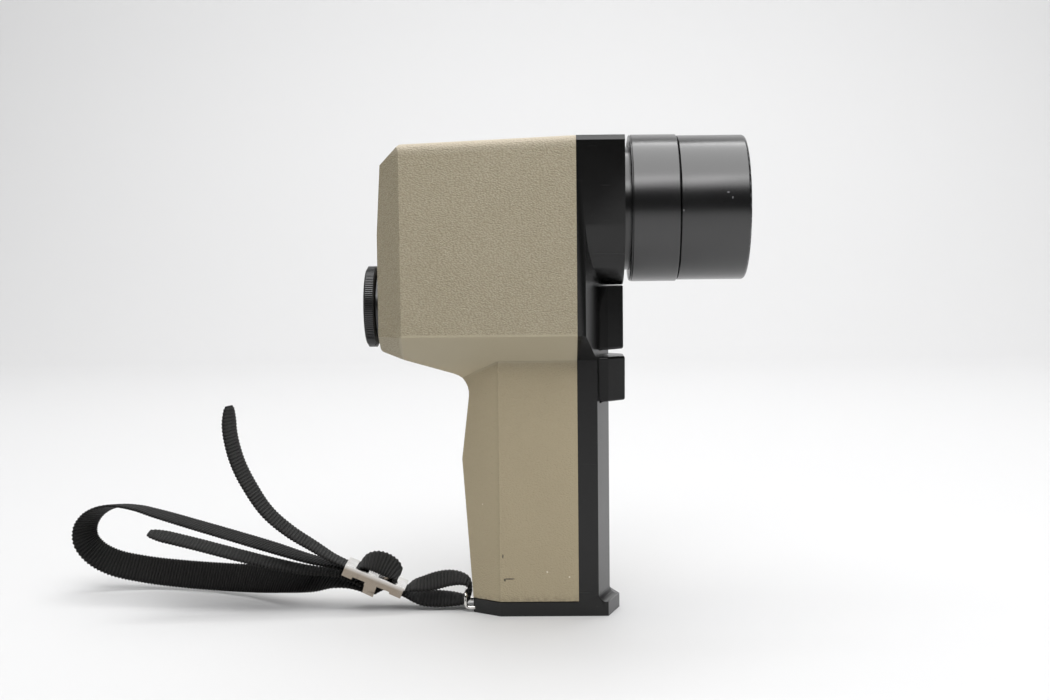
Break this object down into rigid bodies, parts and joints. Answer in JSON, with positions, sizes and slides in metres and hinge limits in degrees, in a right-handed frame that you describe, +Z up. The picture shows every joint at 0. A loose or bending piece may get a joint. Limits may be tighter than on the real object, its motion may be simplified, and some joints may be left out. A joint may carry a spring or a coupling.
{
  "type": "spot meter",
  "caption": "Pistol-grip photographic spot meter: boxy head, focusing lens barrel, knurled eyepiece, triggers, calculator dial, and a wrist strap with a slide buckle.",
  "frame": {"origin": "on the resting face of the base, in the middle plane, below the grip's front part", "axes": "+X along the lens axis towards the subject, +Z up from the base, +Y to the device's left"},
  "size_m": [0.2618, 0.0663, 0.1763],
  "materials": {
    "cover": "fine pebble grain, matte",
    "frame": "gloss",
    "screw": "plain",
    "lens_black": "black anodised, satin",
    "lens_glass": "polished, coated",
    "chassis": "dark matte coat",
    "mirror": "front-silvered",
    "screen_glass": "ground on one side",
    "scale": "matte",
    "eyepiece": "satin, knurled edge",
    "photocell": "matte",
    "meter_brass": "plain",
    "needle": "red paint",
    "board": "solder mask",
    "trimmer": "moulded",
    "resistor": "lacquer",
    "bracket_steel": "plated",
    "trigger": "satin",
    "spring": "bright wire",
    "switch": "moulded",
    "battery": "printed can without marks",
    "bush_brass": "turned",
    "bright_steel": "bright nickel",
    "dial": "black anodised",
    "film_dial": "clear anodised",
    "webbing": "ribbed woven webbing"
  },
  "bodies": {
    "body": {"right_cover": "cover", "left_cover": "cover", "cover_screws": "screw", "front_frame": "frame", "chassis_screws": "screw", "lens_mount": "lens_black", "lens_mount_screws": "screw", "barrel_base": "lens_black", "ring_retainer": "lens_black", "rear_lens": "lens_glass", "rear_lens_ring": "lens_black", "mirror_box": "chassis", "mirror": "mirror", "focusing_screen": "screen_glass", "scale_plate": "scale", "prism": "lens_glass", "prism_cradle": "chassis", "eyepiece_tube": "eyepiece", "cell_bracket": "chassis", "photocell_holder": "lens_black", "photocell": "photocell", "condenser_lens": "lens_glass", "meter_shelf": "chassis", "meter_housing": "meter_brass", "circuit_board": "board", "trimmers": "trimmer", "resistors": "resistor", "trigger_bracket": "bracket_steel", "upper_spring": "spring", "lower_spring": "spring", "upper_switch": "switch", "lower_switch": "switch", "battery": "battery", "battery_snap": "switch", "battery_tray": "switch", "tripod_bush": "bush_brass", "strap_lug": "bright_steel", "dial_plate": "lens_black", "dial_screw": "screw", "strap_tail": "webbing", "strap_loop": "webbing", "strap_buckle": "bright_steel"},
    "focus_ring": {"focus_ring": "lens_black"},
    "lens_cell": {"lens_cell": "lens_black", "front_lens": "lens_glass", "cell_ring": "lens_black", "focus_key": "screw"},
    "eyepiece_ring": {"eyepiece_ring": "eyepiece", "eyepiece_clip": "screw"},
    "ocular": {"ocular_cell": "lens_black", "ocular_lens": "lens_glass"},
    "needle": {"needle": "needle"},
    "upper_trigger": {"upper_trigger": "trigger"},
    "lower_trigger": {"lower_trigger": "trigger"},
    "exposure_dial": {"exposure_dial": "dial"},
    "film_dial": {"film_dial": "film_dial"},
    "battery_cover": {"battery_cover": "frame"},
    "coin_screw": {"coin_screw": "screw"}
  },
  "joints": [
    {"name": "focus_turn", "type": "hinge", "parent": "body", "child": "focus_ring", "pos_m": [0.057, 0, 0.1494], "axis": [1, 0, 0], "range_deg": [0, 100]},
    {"name": "lens_slide", "type": "slide", "parent": "body", "child": "lens_cell", "axis": [1, 0, 0], "range_m": [0, 0.004]},
    {"name": "eyepiece_turn", "type": "hinge", "parent": "body", "child": "eyepiece_ring", "pos_m": [-0.067, 0, 0.114], "axis": [1, 0, 0], "range_deg": [-150, 150]},
    {"name": "ocular_slide", "type": "slide", "parent": "body", "child": "ocular", "axis": [1, 0, 0], "range_m": [-0.0015, 0.0015]},
    {"name": "needle_swing", "type": "hinge", "parent": "body", "child": "needle", "pos_m": [-0.047, 0, 0.131], "axis": [0, 0, 1], "range_deg": [0, 28], "stiffness_Nm_per_rad": 0.00005},
    {"name": "upper_trigger_press", "type": "slide", "parent": "body", "child": "upper_trigger", "axis": [-1, 0, 0], "range_m": [0, 0.0025], "stiffness_N_per_m": 400, "springref_m": -0.002, "deforming": ["upper_spring"]},
    {"name": "lower_trigger_press", "type": "slide", "parent": "body", "child": "lower_trigger", "axis": [-1, 0, 0], "range_m": [0, 0.0025], "stiffness_N_per_m": 400, "springref_m": -0.002, "deforming": ["lower_spring"]},
    {"name": "exposure_dial_turn", "type": "hinge", "parent": "body", "child": "exposure_dial", "pos_m": [-0.0242, 0.0299, 0.14], "axis": [0, 1, 0], "continuous": true},
    {"name": "film_dial_turn", "type": "hinge", "parent": "body", "child": "film_dial", "pos_m": [-0.0242, 0.032, 0.14], "axis": [0, 1, 0], "continuous": true},
    {"name": "battery_cover_slide", "type": "slide", "parent": "body", "child": "battery_cover", "axis": [0, 0, -1], "range_m": [0, 0.015]},
    {"name": "coin_screw_turn", "type": "hinge", "parent": "battery_cover", "child": "coin_screw", "pos_m": [0.0063, 0, 0.001], "axis": [0, 0, 1], "range_deg": [0, 360]}
  ],
  "couplings": [
    {"joint": "lens_slide", "follows": "focus_turn", "m_per_rad": 0.0022918},
    {"joint": "ocular_slide", "follows": "eyepiece_turn", "m_per_rad": 0.00057295}
  ]
}
